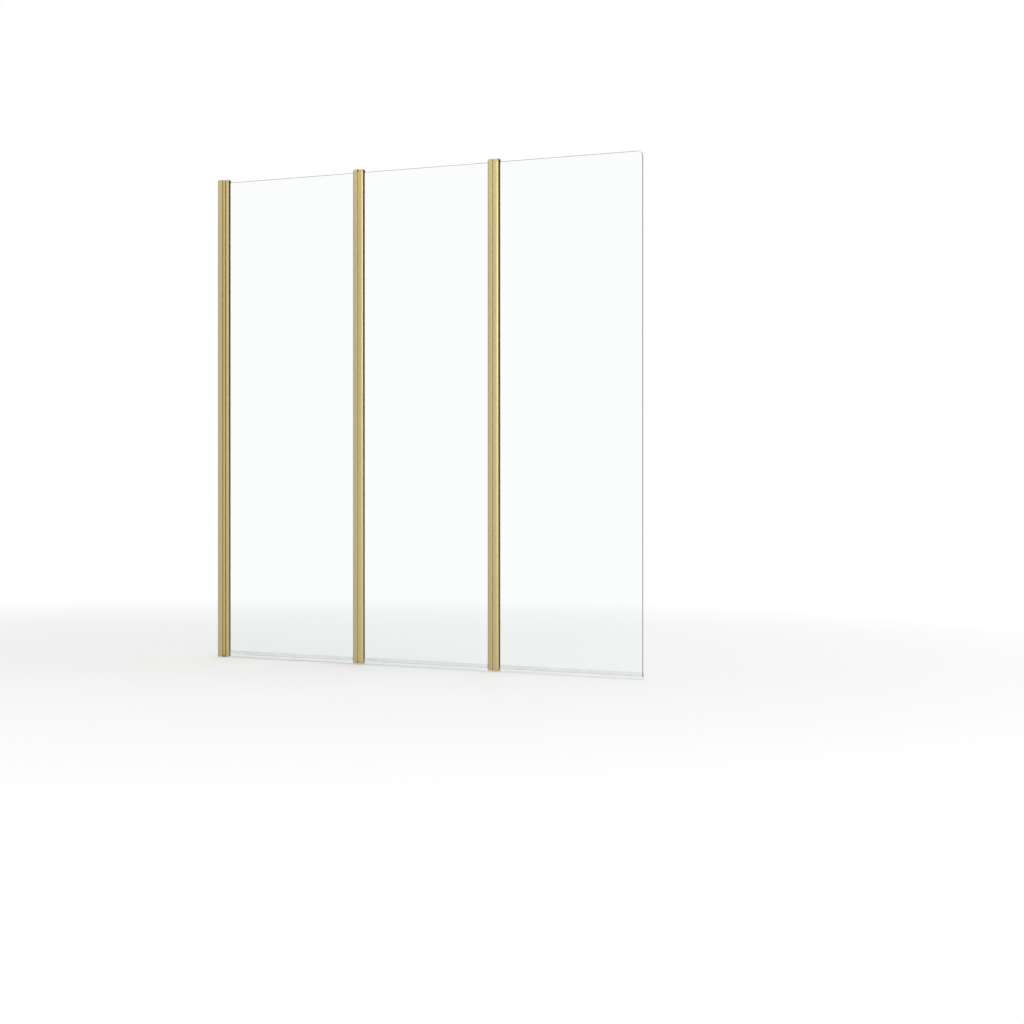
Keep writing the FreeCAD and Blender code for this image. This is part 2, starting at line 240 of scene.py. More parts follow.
class Tree:
    """Node tree, with short forms for the nodes that materials, world and fittings share."""

    def __init__(self, tree):
        self.tree = tree

    def add(self, kind, **settings):
        """New node with its settings."""
        made = self.tree.nodes.new(kind)
        for name, value in settings.items():
            setattr(made, name, value)
        return made

    def join(self, source, target):
        """Link two sockets."""
        self.tree.links.new(source, target)

    def put(self, socket, value):
        """Link a socket, or set its constant."""
        if isinstance(value, bpy.types.NodeSocket):
            self.join(value, socket)
        else:
            socket.default_value = value

    def feed(self, made, **values):
        """Set or link a node's inputs by socket name with _ for a space."""
        for name, value in values.items():
            self.put(made.inputs[name.replace("_", " ")], value)
        return made

    def math(self, operation, *values):
        """Math node on sockets or numbers."""
        made = self.add("ShaderNodeMath", operation=operation)
        for socket, value in zip(made.inputs, values):
            self.put(socket, value)
        return made.outputs["Value"]

    def vector_math(self, operation, *vectors):
        """Vector Math node on sockets or vectors."""
        made = self.add("ShaderNodeVectorMath", operation=operation)
        for socket, value in zip(made.inputs, vectors):
            self.put(socket, value)
        return made.outputs

    def spread(self, value, low, high, start=0.3, end=0.7, **settings):
        """Map a value from its range, by default that of noise, to low and high."""
        made = self.add("ShaderNodeMapRange", **settings)
        self.feed(made, Value=value, From_Min=start, From_Max=end, To_Min=low, To_Max=high)
        return made.outputs["Result"]

    def mix(self, share, first, second):
        """Number between two levels."""
        return self.feed(self.add("ShaderNodeMix"), Factor=share, A=first, B=second).outputs["Result"]


class Shader(Tree):
    """Node tree of one material."""

    def __init__(self, name):
        self.material = bpy.data.materials.new(name)
        self.material.use_nodes = True
        super().__init__(self.material.node_tree)
        self.surface = self.tree.nodes["Principled BSDF"]
        self.place = self.add("ShaderNodeTexCoord")

    def noise(self, stretch, detail=2.0):
        """Noise on Object coordinates with its own stretch; stretch counts waves in a metre."""
        mapping = self.feed(self.add("ShaderNodeMapping"), Vector=self.place.outputs["Object"], Scale=stretch)
        pattern = self.feed(self.add("ShaderNodeTexNoise"), Vector=mapping.outputs["Vector"],
                            Scale=1.0, Detail=detail)
        return pattern.outputs["Fac"]

    def blend(self, share, first, second):
        """Mix two colours, each a colour or a socket."""
        made = self.add("ShaderNodeMix", data_type="RGBA")
        self.join(share, made.inputs["Factor"])
        for socket, value in ((made.inputs["A"], first), (made.inputs["B"], second)):
            self.put(socket, value if isinstance(value, bpy.types.NodeSocket) else rgba(value))
        return made.outputs["Result"]

    def edges(self, radius):
        """Mask that rises where the surface turns within radius."""
        bevel = self.feed(self.add("ShaderNodeBevel", samples=4), Radius=radius)
        facing = self.add("ShaderNodeNewGeometry")
        dot = self.vector_math("DOT_PRODUCT", bevel.outputs["Normal"], facing.outputs["Normal"])
        return self.spread(dot["Value"], 1.0, 0.0, 0.86, 0.99)

    def bump(self, height, strength, depth):
        """Fine relief; depth in metres."""
        made = self.feed(self.add("ShaderNodeBump"), Strength=strength, Distance=depth, Height=height)
        self.join(made.outputs["Normal"], self.surface.inputs["Normal"])

    def set(self, **values):
        """Constants on the shader, by socket name with _ for a space."""
        self.feed(self.surface, **values)

    def drive(self, name, socket):
        """Feed a shader input from a socket."""
        self.join(socket, self.surface.inputs[name])


def brushed_gold():
    """Gold anodised extrusion, brushed along its length."""
    tones = finish()
    metal = Shader("brushed_gold_profile")
    grain = metal.noise((3400.0, 3400.0, 30.0), 3.0)
    streak = metal.noise((420.0, 420.0, 1.2), 2.0)
    cloud = metal.noise((3.0, 3.0, 1.3), 2.0)
    tone = metal.math("ADD", metal.math("MULTIPLY", grain, 0.55), metal.math("MULTIPLY", streak, 0.45))
    brushed = metal.blend(metal.spread(tone, 0.0, 1.0, 0.36, 0.64), tones.gold_deep, tones.gold_light)
    # Lighter gold along the edges, broken by the streaks: partly polish wear, partly a painted edge
    # highlight.
    wear_and_highlight = metal.math("MULTIPLY", metal.edges(0.0009), metal.spread(streak, 0.25, 0.9))
    metal.drive("Base Color", metal.blend(wear_and_highlight, brushed, tones.gold_wear_and_highlight))
    fine = metal.spread(grain, 0.26, 0.34)
    metal.drive("Roughness", metal.math("ADD", fine, metal.spread(cloud, -0.03, 0.05)))
    metal.bump(grain, 0.08, 0.00002)
    metal.set(Metallic=1.0)
    return metal.material


def cast_gold():
    """Cast and plated end cap: fine satin with no grain direction."""
    tones = finish()
    metal = Shader("cast_gold_cap")
    satin = metal.noise((4200.0, 4200.0, 4200.0), 3.0)
    cloud = metal.noise((160.0, 160.0, 160.0), 2.0)
    base = metal.blend(metal.spread(cloud, 0.0, 0.5), tones.cap_gold, tones.gold_deep)
    # Lighter gold along the cap's edges: partly polish wear, partly a painted edge highlight.
    wear_and_highlight = metal.math("MULTIPLY", metal.edges(0.0006), 0.7)
    metal.drive("Base Color", metal.blend(wear_and_highlight, base, tones.gold_wear_and_highlight))
    metal.drive("Roughness", metal.spread(satin, 0.30, 0.44))
    metal.bump(satin, 0.18, 0.00003)
    metal.set(Metallic=1.0)
    return metal.material


def moulded_plastic(name, colour, low, high):
    """Moulded plastic with a spark-eroded skin."""
    skin = Shader(name)
    pits = skin.noise((3600.0, 3600.0, 3600.0), 3.0)
    flow = skin.noise((70.0, 70.0, 70.0), 2.0)
    paler = tuple(min(1.0, part * 1.12) for part in colour)
    deeper = tuple(part * 0.88 for part in colour)
    skin.drive("Base Color", skin.blend(skin.spread(flow, 0.0, 1.0), deeper, paler))
    skin.drive("Roughness", skin.spread(pits, low, high))
    skin.bump(pits, 0.25, 0.00004)
    return skin.material


def clear_glass():
    """Toughened float glass: polished faces, edges painted darker as shade, tint that builds up with depth.
    """
    tones = finish()
    glass = Shader("clear_glass_pane")
    parts = glass.feed(glass.add("ShaderNodeSeparateXYZ"), Vector=glass.place.outputs["Normal"])
    across = glass.math("ABSOLUTE", parts.outputs["Y"])
    edge = glass.spread(across, 1.0, 0.0, 0.75, 0.97)
    smear = glass.noise((5.0, 5.0, 2.4), 3.0)
    ground = glass.noise((1800.0, 1800.0, 1800.0), 2.0)
    clean = glass.spread(smear, 0.0, 0.012, 0.45, 0.8)
    rough = glass.math("MULTIPLY", edge, glass.spread(ground, 0.10, 0.22))
    # Edge faces painted darker as shade, the top edge near black; only the roughness of the ground edges is
    # the glass's own.
    upward = glass.spread(parts.outputs["Z"], 0.0, 1.0, 0.3, 0.7)
    rim = glass.blend(upward, tones.glass_edge_painted_shade, tones.glass_top_painted_shade)
    glass.drive("Base Color", glass.blend(edge, tones.glass_face, rim))
    glass.drive("Roughness", glass.math("ADD", clean, rough))
    glass.bump(smear, 0.04, 0.0004)
    glass.set(Transmission_Weight=1.0, IOR=1.52)
    body = glass.feed(glass.add("ShaderNodeVolumeAbsorption"), Color=rgba(tones.glass_body), Density=6.0)
    glass.join(body.outputs["Volume"], glass.tree.nodes["Material Output"].inputs["Volume"])
    return glass.material


def clear_vinyl():
    """Soft clear plastic of the drip seals, a little hazy from the die."""
    tones = finish()
    vinyl = Shader("clear_vinyl_seal")
    lines = vinyl.noise((6.0, 3000.0, 3000.0), 2.0)
    haze = vinyl.noise((40.0, 40.0, 40.0), 2.0)
    milky = tuple(part * 0.97 for part in tones.seal_clear)
    vinyl.drive("Base Color", vinyl.blend(vinyl.spread(haze, 0.0, 1.0), milky, tones.seal_clear))
    vinyl.drive("Roughness", vinyl.spread(haze, 0.05, 0.14))
    vinyl.bump(lines, 0.12, 0.00004)
    vinyl.set(Transmission_Weight=0.97, IOR=1.46)
    return vinyl.material


def soft_rubber(name, colour):
    """Matt rubber strip with the lines of its die along its length."""
    rubber = Shader(name)
    lines = rubber.noise((2400.0, 2400.0, 20.0), 3.0)
    bloom = rubber.noise((55.0, 55.0, 12.0), 2.0)
    dusty = tuple(min(1.0, part * 1.6 + 0.01) for part in colour)
    rubber.drive("Base Color", rubber.blend(rubber.spread(bloom, 0.0, 0.8), colour, dusty))
    rubber.drive("Roughness", rubber.spread(lines, 0.58, 0.82))
    rubber.bump(lines, 0.2, 0.00005)
    return rubber.material


def turned_steel():
    """Bright zinc-plated steel with fine turning marks round the axis."""
    tones = finish()
    steel = Shader("plated_steel")
    marks = steel.noise((900.0, 900.0, 9000.0), 2.0)
    patch = steel.noise((420.0, 420.0, 420.0), 2.0)
    duller = tuple(part * 0.78 for part in tones.steel)
    steel.drive("Base Color", steel.blend(steel.spread(patch, 0.0, 1.0), duller, tones.steel))
    steel.drive("Roughness", steel.spread(marks, 0.20, 0.36))
    steel.bump(marks, 0.15, 0.00003)
    steel.set(Metallic=1.0)
    return steel.material


def coat(mesh, material):
    """Put one material on a mesh."""
    mesh.materials.clear()
    mesh.materials.append(material)


def dress(nodes, material):
    """Put one material on CAD nodes."""
    for name in nodes:
        coat(NODES[name].data, material)


class Fitting(Tree):
    """Geometry node tree that ends in Realize Instances and Set Material."""

    def __init__(self, name):
        super().__init__(bpy.data.node_groups.new(name, "GeometryNodeTree"))
        self.tree.interface.new_socket("Geometry", in_out="OUTPUT", socket_type="NodeSocketGeometry")
        self.keys = {}
        self.asked("Geometry", "NodeSocketGeometry")
        self.asked("Material", "NodeSocketMaterial")
        self.entry = self.add("NodeGroupInput")

    def asked(self, name, kind="NodeSocketFloat"):
        """Named input of the tree."""
        made = self.tree.interface.new_socket(name, in_out="INPUT", socket_type=kind)
        self.keys[name] = made.identifier

    def given(self, name):
        """Output socket of a named input."""
        return next(s for s in self.entry.outputs if s.identifier == self.keys[name])

    def vector(self, x, y, z):
        """Vector from three sockets or numbers."""
        return self.feed(self.add("ShaderNodeCombineXYZ"), X=x, Y=y, Z=z).outputs["Vector"]

    def moved(self, geometry, offset):
        """Geometry shifted by a vector socket."""
        made = self.feed(self.add("GeometryNodeTransform"), Geometry=geometry, Translation=offset)
        return made.outputs["Geometry"]

    def merged(self, *parts):
        """Several geometries as one."""
        made = self.add("GeometryNodeJoinGeometry")
        for part in parts:
            self.join(part, made.inputs["Geometry"])
        return made.outputs["Geometry"]

    def turned(self, length, steps, radius, sides):
        """Closed round bar up the Z axis, with a radius that may change along it."""
        line = self.feed(self.add("GeometryNodeCurvePrimitiveLine"), End=self.vector(0.0, 0.0, length))
        fine = self.feed(self.add("GeometryNodeResampleCurve"), Curve=line.outputs["Curve"], Count=steps)
        ring = self.feed(self.add("GeometryNodeCurvePrimitiveCircle"), Resolution=sides, Radius=1.0)
        solid = self.add("GeometryNodeCurveToMesh")
        self.feed(solid, Curve=fine.outputs["Curve"], Profile_Curve=ring.outputs["Curve"],
                  Scale=radius, Fill_Caps=True)
        return solid.outputs["Mesh"]

    def on_points(self, shape):
        """Copies of a shape on the input's points, turned to their lie."""
        lie = self.feed(self.add("GeometryNodeInputNamedAttribute", data_type="FLOAT_VECTOR"), Name="lie")
        align = self.add("FunctionNodeAlignRotationToVector", axis="Z")
        self.join(lie.outputs["Attribute"], align.inputs["Vector"])
        made = self.feed(self.add("GeometryNodeInstanceOnPoints"), Points=self.given("Geometry"),
                         Instance=shape, Rotation=align.outputs["Rotation"])
        return made.outputs["Instances"]

    def close(self, geometry):
        """Realize, set the material and end the tree."""
        real = self.feed(self.add("GeometryNodeRealizeInstances"), Geometry=geometry)
        coated = self.feed(self.add("GeometryNodeSetMaterial"), Geometry=real.outputs["Geometry"],
                           Material=self.given("Material"))
        self.join(coated.outputs["Geometry"], self.add("NodeGroupOutput").inputs["Geometry"])

    def make(self, name, start, material, **values):
        """Plain mesh object grown from the start mesh, with normals outward."""
        piece = bpy.data.objects.new(name, start)
        bpy.context.scene.collection.objects.link(piece)
        grow = piece.modifiers.new(self.tree.name, "NODES")
        grow.node_group = self.tree
        grow[self.keys["Material"]] = material
        for key, value in values.items():
            grow[self.keys[key.replace("_", " ")]] = value
        depsgraph = bpy.context.evaluated_depsgraph_get()
        grown = bpy.data.meshes.new_from_object(piece.evaluated_get(depsgraph))
        piece.modifiers.remove(grow)
        piece.data = grown
        grown.name = name
        if not grown.polygons:
            raise RuntimeError(name + " came out empty")
        outward(grown)
        return piece


def outward(mesh):
    """Merge doubles and turn every face outward."""
    shell = bmesh.new()
    shell.from_mesh(mesh)
    bmesh.ops.remove_doubles(shell, verts=shell.verts, dist=MADE_WELD)
    bmesh.ops.recalc_face_normals(shell, faces=shell.faces)
    shell.to_mesh(mesh)
    shell.free()


def soften(mesh, angle):
    """Smooth shading except across edges sharper than angle."""
    mesh.shade_smooth()
    mesh.set_sharp_from_angle(angle=angle)


def seats(places):
    """Mesh of points, each with the direction in which its fitting lies."""
    mesh = bpy.data.meshes.new("seats")
    mesh.from_pydata([place for place, _ in places], [], [])
    lie = mesh.attributes.new("lie", "FLOAT_VECTOR", "POINT")
    lie.data.foreach_set("vector", [part for _, way in places for part in way])
    return mesh


def fitted(piece, body, node):
    """Let a made piece ride on its body in place of its CAD node."""
    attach(piece, body)
    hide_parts(node)


class EasedStile:
    """Copy of a stile whose faces fall gently to its lips, with flatter corners at its nose.

    The side of the lips along X is 1 or -1. A lip's arc starts at lip and ends at edge, where the slot
    for the glass cuts it. The eased lip ends there too, so share tells how much of the arc's own
    fall is left beside the slope.
    """

    def __init__(self, node, side):
        self.node, self.side, self.use = node, side, sizes()
        self.low, self.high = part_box(node)
        self.edge, self.nose = (self.high.x, self.low.x) if side > 0 else (self.low.x, self.high.x)
        radius, drop = self.use.stile_lip, self.high.y - self.use.stile_slot
        turn = math.acos(1.0 - drop / radius)
        self.lip = self.edge - side * radius * math.sin(turn)
        self.share = 1.0 - self.use.slope_lean * (self.use.slope_run / 2.0 + radius * turn) / drop

    def depths(self, x):
        """Depth of the outside below the face at x, as drawn and as eased."""
        use = self.use
        past, near = self.side * (x - self.lip), self.side * (x - self.nose)
        if near < use.stile_nose:
            drawn = use.stile_nose - math.sqrt(max(near * (2.0 * use.stile_nose - near), 0.0))
            return drawn, use.nose_depth * drawn
        if past <= 0.0:
            return 0.0, use.slope_lean * max(past + use.slope_run, 0.0) ** 2 / (2.0 * use.slope_run)
        bend = math.asin(min(past / use.stile_lip, 1.0))
        drawn = use.stile_lip * (1.0 - math.cos(bend))
        return drawn, use.slope_lean * (use.slope_run / 2.0 + use.stile_lip * bend) + self.share * drawn

    def cuts(self):
        """Places along X of the edges that the eased outside needs."""
        use = self.use
        yield self.nose + self.side * (use.stile_nose + EASE_MARGIN)
        for step in range(EASE_STEPS):
            yield self.lip - self.side * use.slope_run * (1.0 - step / EASE_STEPS)
            yield self.lip + self.side * abs(self.edge - self.lip) * step / EASE_STEPS

    def cut_along(self, shell):
        """Cut the shell along its length where the eased outside needs edges."""
        for place in self.cuts():
            bmesh.ops.bisect_plane(shell, geom=shell.verts[:] + shell.edges[:] + shell.faces[:],
                                   dist=MADE_WELD, plane_co=(place, 0.0, 0.0), plane_no=(1.0, 0.0, 0.0))

    def ease(self, shell):
        """Move the points of the drawn outside to the eased one."""
        for point in shell.verts:
            drawn, eased = self.depths(point.co.x)
            if abs(self.high.y - drawn - abs(point.co.y)) < EASE_REACH:
                point.co.y = math.copysign(self.high.y - eased, point.co.y)

    def fill_ends(self, shell):
        """Close the open ends of the shell."""
        middle = (self.low.z + self.high.z) / 2.0
        for way in (-1.0, 1.0):
            rim = [edge for edge in shell.edges
                   if edge.is_boundary and way * (edge.verts[0].co.z - middle) > 0.0]
            bmesh.ops.triangle_fill(shell, use_beauty=True, edges=rim, normal=(0.0, 0.0, way))
        if any(not edge.is_manifold for edge in shell.edges):
            raise RuntimeError(f"the eased copy of {self.node} isn't closed")

    def make(self, name, material):
        """Eased stile as an object of its own."""
        mesh = NODES[self.node].data.copy()
        mesh.name = name
        drawn_normals = mesh.attributes.get("custom_normal")
        if drawn_normals:
            mesh.attributes.remove(drawn_normals)
        shell = bmesh.new()
        shell.from_mesh(mesh)
        bmesh.ops.remove_doubles(shell, verts=shell.verts, dist=DRAWN_WELD)
        self.cut_along(shell)
        ends = [face for face in shell.faces if abs(face.normal.z) > END_UPRIGHT]
        bmesh.ops.delete(shell, geom=ends, context="FACES_KEEP_BOUNDARY")
        self.ease(shell)
        self.fill_ends(shell)
        bmesh.ops.recalc_face_normals(shell, faces=shell.faces)
        shell.to_mesh(mesh)
        shell.free()
        soften(mesh, METAL_SHARP)
        coat(mesh, material)
        piece = bpy.data.objects.new(name, mesh)
        bpy.context.scene.collection.objects.link(piece)
        return piece


def screw_tree():
    """Pan-head screw with a cross recess and a rolled thread."""
    tree = Fitting("cap_screw")
    for name in ("Head Radius", "Head Height", "Shank Radius", "Shank Length", "Thread Pitch",
                 "Thread Depth", "Drive Width", "Drive Length", "Drive Depth"):
        tree.asked(name)
    height = tree.given("Head Height")
    factor = tree.add("GeometryNodeSplineParameter").outputs["Factor"]
    drop = tree.math("MULTIPLY", tree.math("POWER", factor, DOME_POWER), DOME_DROP)
    dome = tree.math("MULTIPLY", tree.given("Head Radius"), tree.math("SUBTRACT", 1.0, drop))
    head = tree.turned(height, HEAD_RINGS, dome, HEAD_SIDES)
    deep = tree.math("MULTIPLY", tree.given("Drive Depth"), 2.0)
    arms = []
    for x_size, y_size in (("Drive Width", "Drive Length"), ("Drive Length", "Drive Width")):
        box = tree.feed(tree.add("GeometryNodeMeshCube"),
                        Size=tree.vector(tree.given(x_size), tree.given(y_size), deep))
        arms.append(tree.moved(box.outputs["Mesh"], tree.vector(0.0, 0.0, height)))
    recess = tree.add("GeometryNodeMeshBoolean", operation="DIFFERENCE", solver="EXACT")
    tree.join(head, recess.inputs["Mesh 1"])
    for arm in arms:
        tree.join(arm, recess.inputs["Mesh 2"])
    length = tree.given("Shank Length")
    down = tree.vector(0.0, 0.0, tree.math("MULTIPLY", length, -1.0))
    core_radius = tree.math("SUBTRACT", tree.given("Shank Radius"), tree.given("Thread Depth"))
    core = tree.moved(tree.turned(length, SHANK_RINGS, core_radius, SHANK_SIDES), down)
    helix = tree.feed(tree.add("GeometryNodeCurveSpiral"), Resolution=THREAD_STEPS,
                      Rotations=tree.math("DIVIDE", length, tree.given("Thread Pitch")),
                      Start_Radius=core_radius, End_Radius=core_radius, Height=length)
    ridge = tree.feed(tree.add("GeometryNodeCurvePrimitiveCircle"), Resolution=RIDGE_SIDES,
                      Radius=tree.given("Thread Depth"))
    thread = tree.feed(tree.add("GeometryNodeCurveToMesh"), Curve=helix.outputs["Curve"],
                       Profile_Curve=ridge.outputs["Curve"], Fill_Caps=True)
    wound = tree.moved(thread.outputs["Mesh"], down)
    tree.close(tree.on_points(tree.merged(recess.outputs["Mesh"], core, wound)))
    return tree


def pin_tree():
    """Round hinge pin with a lead-in at both ends."""
    tree = Fitting("hinge_pin")
    for name in ("Pin Radius", "Pin Length", "Pin Chamfer"):
        tree.asked(name)
    factor = tree.add("GeometryNodeSplineParameter").outputs["Factor"]
    from_middle = tree.math("ABSOLUTE", tree.math("SUBTRACT", factor, 0.5))
    at_end = tree.math("GREATER_THAN", from_middle, PIN_LEAD)
    cut = tree.math("MULTIPLY", at_end, tree.given("Pin Chamfer"))
    radius = tree.math("SUBTRACT", tree.given("Pin Radius"), cut)
    tree.close(tree.on_points(tree.turned(tree.given("Pin Length"), PIN_RINGS, radius, PIN_SIDES)))
    return tree


def strip_tree():
    """Strip of one section, run out along X."""
    tree = Fitting("drawn_strip")
    tree.asked("Run")
    run = tree.add("GeometryNodeExtrudeMesh", mode="FACES")
    tree.feed(run, Mesh=tree.given("Geometry"), Offset=tree.vector(1.0, 0.0, 0.0),
              Offset_Scale=tree.given("Run"), Individual=False)
    start = tree.feed(tree.add("GeometryNodeFlipFaces"), Mesh=tree.given("Geometry"))
    whole = tree.merged(run.outputs["Mesh"], start.outputs["Mesh"])
    weld = tree.feed(tree.add("GeometryNodeMergeByDistance"), Geometry=whole, Distance=MADE_WELD)
    tree.close(weld.outputs["Geometry"])
    return tree


def arc(centre, radius, start, end, steps):
    """Points on an arc in the section plane, angles in degrees."""
    angles = [math.radians(start + (end - start) * step / steps) for step in range(steps + 1)]
    return [(centre[0] + radius * math.cos(a), centre[1] + radius * math.sin(a)) for a in angles]


def drip_section(low, high):
    """Outline of a drip seal in Y and Z: clip with rounded lips, and a curved fin under it."""
    use = sizes()
    glass = (PANE_BOX[1].y - PANE_BOX[0].y) / 2 + use.seal_gap
    outer = glass + use.seal_wall
    seat = PANE_BOX[0].z - use.seal_gap
    floor = seat - use.seal_floor
    lip = use.seal_round
    top = high.z - lip
    corner = use.seal_corner
    fin_end = (high.y - use.fin_tip / 2, low.z + use.fin_tip / 2)
    fin = []
    for step in range(FIN_STEPS + 1):
        part = step / FIN_STEPS
        y = fin_end[0] * part ** FIN_BOW
        z = floor + (fin_end[1] - floor) * part
        thick = use.fin_root + (use.fin_tip - use.fin_root) * part
        fin.append((y, z, thick / 2))
    outline = arc((glass + use.seal_wall / 2, top), lip, 180, 0, LIP_STEPS)
    outline += arc((outer - corner, floor + corner), corner, 0, -90, CORNER_STEPS)
    outline += [(y + half, z) for y, z, half in fin]
    outline += arc(fin_end, use.fin_tip / 2, TIP_START, TIP_END, CORNER_STEPS)
    outline += [(y - half, z) for y, z, half in reversed(fin)]
    outline += arc((-outer + corner, floor + corner), corner, -90, -180, CORNER_STEPS)
    outline += arc((-glass - use.seal_wall / 2, top), lip, 180, 0, LIP_STEPS)
    outline += [(-glass, seat), (glass, seat)]
    return outline


class SCREEN_OT_profiles(bpy.types.Operator):
    """Brush the wall channel, the hinge post and the stiles, and ease the stiles at the folds"""
    bl_idname = "screen.profiles"
    bl_label = "Brushed profiles"

    def execute(self, context):
        metal = brushed_gold()
        dress(["wall_channel", "hinge_post", "leaf_1_hinge_stile"], metal)
        for leaf, part, side in FOLD_STILES:
            node = f"{leaf}_{part}_stile"
            piece = EasedStile(node, side).make(f"{leaf}_{part}_profile", metal)
            fitted(piece, leaf, node)
        return {"FINISHED"}


class SCREEN_OT_caps(bpy.types.Operator):
    """Finish the cast end caps with their hinge ears"""
    bl_idname = "screen.caps"
    bl_label = "End caps"

    def execute(self, context):
        dress([name for name in NODES if "_cap_" in name and "screws" not in name], cast_gold())
        return {"FINISHED"}


class SCREEN_OT_glass(bpy.types.Operator):
    """Glaze the three leaves"""
    bl_idname = "screen.glass"
    bl_label = "Glass panes"

    def execute(self, context):
        panes = [leaf + "_glass" for leaf in LEAVES]
        dress(panes, clear_glass())
        for name in panes:
            NODES[name].visible_shadow = False
        return {"FINISHED"}


class SCREEN_OT_rubber(bpy.types.Operator):
    """Finish the glazing gaskets and the strips in the hinge grooves"""
    bl_idname = "screen.rubber"
    bl_label = "Gaskets and groove seals"

    def execute(self, context):
        tones = finish()
        dress([name for name in NODES if name.endswith("_gasket")],
              soft_rubber("gasket_rubber", tones.rubber))
        # Groove strips get a dark gold tone that partly stands in for the shade in the grooves.
        dress(["post_seal"] + [leaf + "_groove_seal" for leaf in FOLDING],
              soft_rubber("groove_rubber", tones.groove))
        return {"FINISHED"}


class SCREEN_OT_plastics(bpy.types.Operator):
    """Finish the channel plugs, the screw covers and the hinge bushes"""
    bl_idname = "screen.plastics"
    bl_label = "Plugs, covers and bushes"

    def execute(self, context):
        tones = finish()
        dress(["channel_plug_top", "channel_plug_bottom"],
              moulded_plastic("plug_plastic", tones.plug_gold, 0.42, 0.6))
        dress(["screw_covers"], moulded_plastic("cover_plastic", tones.cover_gold, 0.28, 0.42))
        dress(["post_bushes"] + [leaf + "_bushes" for leaf in FOLDING],
              moulded_plastic("bush_nylon", tones.nylon, 0.45, 0.62))
        return {"FINISHED"}


class SCREEN_OT_screws(bpy.types.Operator):
    """Make the cap screws and finish the adjusting screws"""
    bl_idname = "screen.screws"
    bl_label = "Screws"

    def execute(self, context):
        use = sizes()
        steel = turned_steel()
        dress(["adjusting_screws"], steel)
        tree = screw_tree()
        for body, owner in (("wall_unit", "post"),) + tuple((leaf, leaf) for leaf in LEAVES):
            node = owner + "_cap_screws"
            low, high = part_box(node)
            columns = {round(low.x + use.head_radius, 6), round(high.x - use.head_radius, 6)}
            places = []
            for x in sorted(columns):
                places.append(((x, 0.0, high.z - use.head_height), (0.0, 0.0, 1.0)))
                places.append(((x, 0.0, low.z + use.head_height), (0.0, 0.0, -1.0)))
            piece = tree.make(
                owner + "_cross_screws", seats(places), steel,
                Head_Radius=use.head_radius, Head_Height=use.head_height,
                Shank_Radius=use.shank_radius, Shank_Length=use.shank_length,
                Thread_Pitch=use.thread_pitch, Thread_Depth=use.thread_depth,
                Drive_Width=use.drive_width, Drive_Length=use.drive_length,
                Drive_Depth=use.drive_depth)
            soften(piece.data, METAL_SHARP)
            fitted(piece, body, node)
        return {"FINISHED"}


class SCREEN_OT_pins(bpy.types.Operator):
    """Make the hinge pins of the three leaves"""
    bl_idname = "screen.pins"
    bl_label = "Hinge pins"

    def execute(self, context):
        use = sizes()
        steel = turned_steel()
        tree = pin_tree()
        for leaf in LEAVES:
            low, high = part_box(leaf + "_pins")
            x, y = (low.x + high.x) / 2, (low.y + high.y) / 2
            up = (0.0, 0.0, 1.0)
            places = [((x, y, low.z), up), ((x, y, high.z - use.pin_length), up)]
            piece = tree.make(leaf + "_turned_pins", seats(places), steel, Pin_Radius=use.pin_radius,
                              Pin_Length=use.pin_length, Pin_Chamfer=use.pin_chamfer)
            soften(piece.data, METAL_SHARP)
            fitted(piece, leaf, leaf + "_pins")
        return {"FINISHED"}


class SCREEN_OT_drip_seals(bpy.types.Operator):
    """Make the clear strips that clip on the lower edges of the panes"""
    bl_idname = "screen.drip_seals"
    bl_label = "Drip seals"

    def execute(self, context):
        vinyl = clear_vinyl()
        tree = strip_tree()
        for leaf in LEAVES:
            node = leaf + "_drip_seal"
            low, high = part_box(node)
            outline = [(low.x, y, z) for y, z in drip_section(low, high)]
            section = bpy.data.meshes.new("drip_section")
            section.from_pydata(outline, [], [list(range(len(outline)))])
            piece = tree.make(leaf + "_clear_strip", section, vinyl, Run=high.x - low.x)
            soften(piece.data, STRIP_SHARP)
            fitted(piece, leaf, node)
        return {"FINISHED"}


